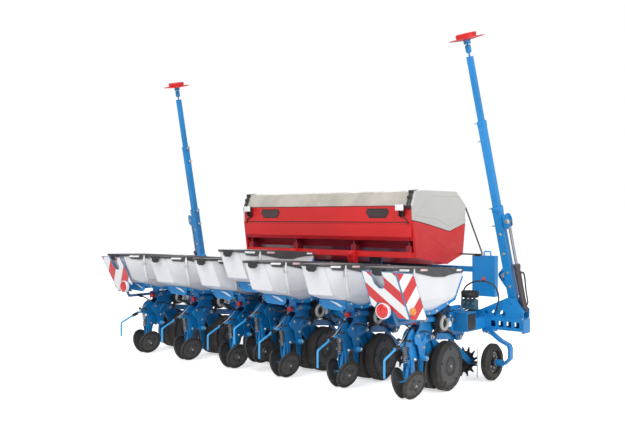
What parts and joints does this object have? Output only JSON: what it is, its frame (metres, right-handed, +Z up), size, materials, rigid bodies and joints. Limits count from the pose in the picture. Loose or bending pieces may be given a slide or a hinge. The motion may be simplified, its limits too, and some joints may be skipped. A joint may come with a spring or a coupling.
{
  "type": "seven-row mounted precision seed planter",
  "caption": "Mounted precision planter with telescopic wings pushed in, row units with seed hoppers, raised row markers and a wide fertiliser hopper.",
  "frame": {"origin": "middle of the machine in plan, at ground level", "axes": "+X to the right, +Y in the direction of travel, +Z up"},
  "size_m": [4.888, 2.761, 3.4186],
  "materials": {
    "black_paint": "satin",
    "blue_paint": "gloss",
    "chrome": "polished",
    "cover_plastic": "satin grey",
    "cylinder_paint": "satin",
    "hopper_plastic": "translucent white",
    "lid_plastic": "matt dark grey",
    "meter_housing": "satin",
    "panel_film": "reflective",
    "red_paint": "gloss",
    "red_tank": "satin red",
    "tool_steel": "worn",
    "tyre": "matt",
    "wheel_disc": "matt"
  },
  "bodies": {
    "frame": {"main_frame": "blue_paint", "headstock": "blue_paint", "fertiliser_hopper": "red_tank", "fan": "black_paint", "service_step": "blue_paint", "centre_row_frame": "blue_paint", "centre_row_hopper": "hopper_plastic", "centre_row_meter": "meter_housing", "centre_row_opener": "tool_steel"},
    "left_wing": {"left_wing_beam": "blue_paint", "left_row_frames": "blue_paint", "left_row_hoppers": "hopper_plastic", "left_row_meters": "meter_housing", "left_row_openers": "tool_steel", "left_warning_panels": "panel_film"},
    "right_wing": {"right_wing_beam": "blue_paint", "right_row_frames": "blue_paint", "right_row_hoppers": "hopper_plastic", "right_row_meters": "meter_housing", "right_row_openers": "tool_steel", "right_warning_panels": "panel_film"},
    "left_marker": {"left_marker_arm": "blue_paint"},
    "left_cylinder": {"left_marker_barrel": "cylinder_paint"},
    "left_cylinder_rod": {"left_marker_rod": "chrome"},
    "right_marker": {"right_marker_arm": "blue_paint"},
    "right_cylinder": {"right_marker_barrel": "cylinder_paint"},
    "right_cylinder_rod": {"right_marker_rod": "chrome"},
    "fertiliser_cover": {"fertiliser_cover": "cover_plastic"},
    "centre_row_lid": {"centre_row_lid": "lid_plastic"},
    "left_row_1_lid": {"left_row_1_lid": "lid_plastic"},
    "left_row_2_lid": {"left_row_2_lid": "lid_plastic"},
    "left_row_3_lid": {"left_row_3_lid": "lid_plastic"},
    "right_row_1_lid": {"right_row_1_lid": "lid_plastic"},
    "right_row_2_lid": {"right_row_2_lid": "lid_plastic"},
    "right_row_3_lid": {"right_row_3_lid": "lid_plastic"},
    "left_support_wheel": {"left_support_wheel": "tyre"},
    "left_marker_disc": {"left_marker_disc": "red_paint"},
    "right_support_wheel": {"right_support_wheel": "tyre"},
    "right_marker_disc": {"right_marker_disc": "red_paint"},
    "centre_gauge_wheels": {"centre_gauge_wheels": "tyre"},
    "left_row_1_gauge_wheels": {"left_row_1_gauge_wheels": "tyre"},
    "left_row_2_gauge_wheels": {"left_row_2_gauge_wheels": "tyre"},
    "left_row_3_gauge_wheels": {"left_row_3_gauge_wheels": "tyre"},
    "right_row_1_gauge_wheels": {"right_row_1_gauge_wheels": "tyre"},
    "right_row_2_gauge_wheels": {"right_row_2_gauge_wheels": "tyre"},
    "right_row_3_gauge_wheels": {"right_row_3_gauge_wheels": "tyre"},
    "centre_closing_wheel_left": {"centre_closing_wheel_left": "wheel_disc"},
    "centre_closing_wheel_right": {"centre_closing_wheel_right": "wheel_disc"},
    "left_row_1_closing_wheel_left": {"left_row_1_closing_wheel_left": "wheel_disc"},
    "left_row_1_closing_wheel_right": {"left_row_1_closing_wheel_right": "wheel_disc"},
    "left_row_2_closing_wheel_left": {"left_row_2_closing_wheel_left": "wheel_disc"},
    "left_row_2_closing_wheel_right": {"left_row_2_closing_wheel_right": "wheel_disc"},
    "left_row_3_closing_wheel_left": {"left_row_3_closing_wheel_left": "wheel_disc"},
    "left_row_3_closing_wheel_right": {"left_row_3_closing_wheel_right": "wheel_disc"},
    "right_row_1_closing_wheel_left": {"right_row_1_closing_wheel_left": "wheel_disc"},
    "right_row_1_closing_wheel_right": {"right_row_1_closing_wheel_right": "wheel_disc"},
    "right_row_2_closing_wheel_left": {"right_row_2_closing_wheel_left": "wheel_disc"},
    "right_row_2_closing_wheel_right": {"right_row_2_closing_wheel_right": "wheel_disc"},
    "right_row_3_closing_wheel_left": {"right_row_3_closing_wheel_left": "wheel_disc"},
    "right_row_3_closing_wheel_right": {"right_row_3_closing_wheel_right": "wheel_disc"}
  },
  "joints": [
    {"name": "left_wing_slide", "type": "slide", "parent": "frame", "child": "left_wing", "axis": [-1, 0, 0], "range_m": [0, 0.375]},
    {"name": "right_wing_slide", "type": "slide", "parent": "frame", "child": "right_wing", "axis": [1, 0, 0], "range_m": [0, 0.375]},
    {"name": "left_marker_hinge", "type": "hinge", "parent": "left_wing", "child": "left_marker", "pos_m": [-2.289, 0.4445, 0.81], "axis": [0, -0.9687, -0.2483], "range_deg": [0, 106]},
    {"name": "left_cylinder_pivot", "type": "hinge", "parent": "left_wing", "child": "left_cylinder", "pos_m": [-2.39151, 0.47008, 0.71018], "axis": [0, -0.9687, -0.2483], "range_deg": [0, 107.47]},
    {"name": "left_cylinder_stroke", "type": "slide", "parent": "left_cylinder", "child": "left_cylinder_rod", "axis": [-0.0704, 0.2477, -0.9663], "range_m": [0, 0.2325]},
    {"name": "right_marker_hinge", "type": "hinge", "parent": "right_wing", "child": "right_marker", "pos_m": [2.289, 0.4445, 0.81], "axis": [0, 0.9687, 0.2483], "range_deg": [0, 106]},
    {"name": "right_cylinder_pivot", "type": "hinge", "parent": "right_wing", "child": "right_cylinder", "pos_m": [2.39151, 0.47008, 0.71018], "axis": [0, 0.9687, 0.2483], "range_deg": [0, 107.47]},
    {"name": "right_cylinder_stroke", "type": "slide", "parent": "right_cylinder", "child": "right_cylinder_rod", "axis": [0.0704, 0.2477, -0.9663], "range_m": [0, 0.2325]},
    {"name": "fertiliser_cover_hinge", "type": "hinge", "parent": "frame", "child": "fertiliser_cover", "pos_m": [0, 1.3385, 1.764], "axis": [-1, 0, 0], "range_deg": [0, 70]},
    {"name": "centre_row_lid_hinge", "type": "hinge", "parent": "frame", "child": "centre_row_lid", "pos_m": [0, -0.14648, 1.247], "axis": [-1, 0, 0], "range_deg": [0, 85]},
    {"name": "left_row_1_lid_hinge", "type": "hinge", "parent": "left_wing", "child": "left_row_1_lid", "pos_m": [-0.375, -0.1675, 1.147], "axis": [-1, 0, 0], "range_deg": [0, 85]},
    {"name": "left_row_2_lid_hinge", "type": "hinge", "parent": "left_wing", "child": "left_row_2_lid", "pos_m": [-1.125, -0.1675, 1.147], "axis": [-1, 0, 0], "range_deg": [0, 85]},
    {"name": "left_row_3_lid_hinge", "type": "hinge", "parent": "left_wing", "child": "left_row_3_lid", "pos_m": [-1.875, -0.1675, 1.147], "axis": [-1, 0, 0], "range_deg": [0, 85]},
    {"name": "right_row_1_lid_hinge", "type": "hinge", "parent": "right_wing", "child": "right_row_1_lid", "pos_m": [0.375, -0.1675, 1.147], "axis": [-1, 0, 0], "range_deg": [0, 85]},
    {"name": "right_row_2_lid_hinge", "type": "hinge", "parent": "right_wing", "child": "right_row_2_lid", "pos_m": [1.125, -0.1675, 1.147], "axis": [-1, 0, 0], "range_deg": [0, 85]},
    {"name": "right_row_3_lid_hinge", "type": "hinge", "parent": "right_wing", "child": "right_row_3_lid", "pos_m": [1.875, -0.1675, 1.147], "axis": [-1, 0, 0], "range_deg": [0, 85]},
    {"name": "left_support_wheel_spin", "type": "hinge", "parent": "left_wing", "child": "left_support_wheel", "pos_m": [-2.1, 0.3435, 0.185], "axis": [1, 0, 0], "continuous": true},
    {"name": "left_marker_disc_spin", "type": "hinge", "parent": "left_marker", "child": "left_marker_disc", "pos_m": [-2.104, -0.2065, 3.35], "axis": [0.0704, -0.2477, 0.9663], "continuous": true},
    {"name": "right_support_wheel_spin", "type": "hinge", "parent": "right_wing", "child": "right_support_wheel", "pos_m": [2.1, 0.3435, 0.185], "axis": [1, 0, 0], "continuous": true},
    {"name": "right_marker_disc_spin", "type": "hinge", "parent": "right_marker", "child": "right_marker_disc", "pos_m": [2.104, -0.2065, 3.35], "axis": [-0.0704, -0.2477, 0.9663], "continuous": true},
    {"name": "centre_gauge_wheels_spin", "type": "hinge", "parent": "frame", "child": "centre_gauge_wheels", "pos_m": [0, -0.33548, 0.335], "axis": [1, 0, 0], "continuous": true},
    {"name": "left_row_1_gauge_wheels_spin", "type": "hinge", "parent": "left_wing", "child": "left_row_1_gauge_wheels", "pos_m": [-0.375, -0.3565, 0.235], "axis": [1, 0, 0], "continuous": true},
    {"name": "left_row_2_gauge_wheels_spin", "type": "hinge", "parent": "left_wing", "child": "left_row_2_gauge_wheels", "pos_m": [-1.125, -0.3565, 0.235], "axis": [1, 0, 0], "continuous": true},
    {"name": "left_row_3_gauge_wheels_spin", "type": "hinge", "parent": "left_wing", "child": "left_row_3_gauge_wheels", "pos_m": [-1.875, -0.3565, 0.235], "axis": [1, 0, 0], "continuous": true},
    {"name": "right_row_1_gauge_wheels_spin", "type": "hinge", "parent": "right_wing", "child": "right_row_1_gauge_wheels", "pos_m": [0.375, -0.3565, 0.235], "axis": [1, 0, 0], "continuous": true},
    {"name": "right_row_2_gauge_wheels_spin", "type": "hinge", "parent": "right_wing", "child": "right_row_2_gauge_wheels", "pos_m": [1.125, -0.3565, 0.235], "axis": [1, 0, 0], "continuous": true},
    {"name": "right_row_3_gauge_wheels_spin", "type": "hinge", "parent": "right_wing", "child": "right_row_3_gauge_wheels", "pos_m": [1.875, -0.3565, 0.235], "axis": [1, 0, 0], "continuous": true},
    {"name": "centre_closing_wheel_left_spin", "type": "hinge", "parent": "frame", "child": "centre_closing_wheel_left", "pos_m": [-0.08, -0.86548, 0.23574], "axis": [0.9366, 0.1651, 0.309], "continuous": true},
    {"name": "centre_closing_wheel_right_spin", "type": "hinge", "parent": "frame", "child": "centre_closing_wheel_right", "pos_m": [0.08, -0.86548, 0.23574], "axis": [0.9366, -0.1651, -0.309], "continuous": true},
    {"name": "left_row_1_closing_wheel_left_spin", "type": "hinge", "parent": "left_wing", "child": "left_row_1_closing_wheel_left", "pos_m": [-0.455, -0.8865, 0.13573], "axis": [0.9366, 0.1651, 0.309], "continuous": true},
    {"name": "left_row_1_closing_wheel_right_spin", "type": "hinge", "parent": "left_wing", "child": "left_row_1_closing_wheel_right", "pos_m": [-0.295, -0.8865, 0.13573], "axis": [0.9366, -0.1651, -0.309], "continuous": true},
    {"name": "left_row_2_closing_wheel_left_spin", "type": "hinge", "parent": "left_wing", "child": "left_row_2_closing_wheel_left", "pos_m": [-1.205, -0.8865, 0.13573], "axis": [0.9366, 0.1651, 0.309], "continuous": true},
    {"name": "left_row_2_closing_wheel_right_spin", "type": "hinge", "parent": "left_wing", "child": "left_row_2_closing_wheel_right", "pos_m": [-1.045, -0.8865, 0.13573], "axis": [0.9366, -0.1651, -0.309], "continuous": true},
    {"name": "left_row_3_closing_wheel_left_spin", "type": "hinge", "parent": "left_wing", "child": "left_row_3_closing_wheel_left", "pos_m": [-1.955, -0.8865, 0.13573], "axis": [0.9366, 0.1651, 0.309], "continuous": true},
    {"name": "left_row_3_closing_wheel_right_spin", "type": "hinge", "parent": "left_wing", "child": "left_row_3_closing_wheel_right", "pos_m": [-1.795, -0.8865, 0.13573], "axis": [0.9366, -0.1651, -0.309], "continuous": true},
    {"name": "right_row_1_closing_wheel_left_spin", "type": "hinge", "parent": "right_wing", "child": "right_row_1_closing_wheel_left", "pos_m": [0.295, -0.8865, 0.13573], "axis": [0.9366, 0.1651, 0.309], "continuous": true},
    {"name": "right_row_1_closing_wheel_right_spin", "type": "hinge", "parent": "right_wing", "child": "right_row_1_closing_wheel_right", "pos_m": [0.455, -0.8865, 0.13573], "axis": [0.9366, -0.1651, -0.309], "continuous": true},
    {"name": "right_row_2_closing_wheel_left_spin", "type": "hinge", "parent": "right_wing", "child": "right_row_2_closing_wheel_left", "pos_m": [1.045, -0.8865, 0.13573], "axis": [0.9366, 0.1651, 0.309], "continuous": true},
    {"name": "right_row_2_closing_wheel_right_spin", "type": "hinge", "parent": "right_wing", "child": "right_row_2_closing_wheel_right", "pos_m": [1.205, -0.8865, 0.13573], "axis": [0.9366, -0.1651, -0.309], "continuous": true},
    {"name": "right_row_3_closing_wheel_left_spin", "type": "hinge", "parent": "right_wing", "child": "right_row_3_closing_wheel_left", "pos_m": [1.795, -0.8865, 0.13573], "axis": [0.9366, 0.1651, 0.309], "continuous": true},
    {"name": "right_row_3_closing_wheel_right_spin", "type": "hinge", "parent": "right_wing", "child": "right_row_3_closing_wheel_right", "pos_m": [1.955, -0.8865, 0.13573], "axis": [0.9366, -0.1651, -0.309], "continuous": true}
  ],
  "couplings": [
    {"joint": "left_cylinder_pivot", "follows": "left_marker_hinge", "ratio": 1.012},
    {"joint": "left_cylinder_stroke", "follows": "left_marker_hinge", "m_per_rad": 0.12512},
    {"joint": "right_cylinder_pivot", "follows": "right_marker_hinge", "ratio": 1.012},
    {"joint": "right_cylinder_stroke", "follows": "right_marker_hinge", "m_per_rad": 0.12512}
  ]
}
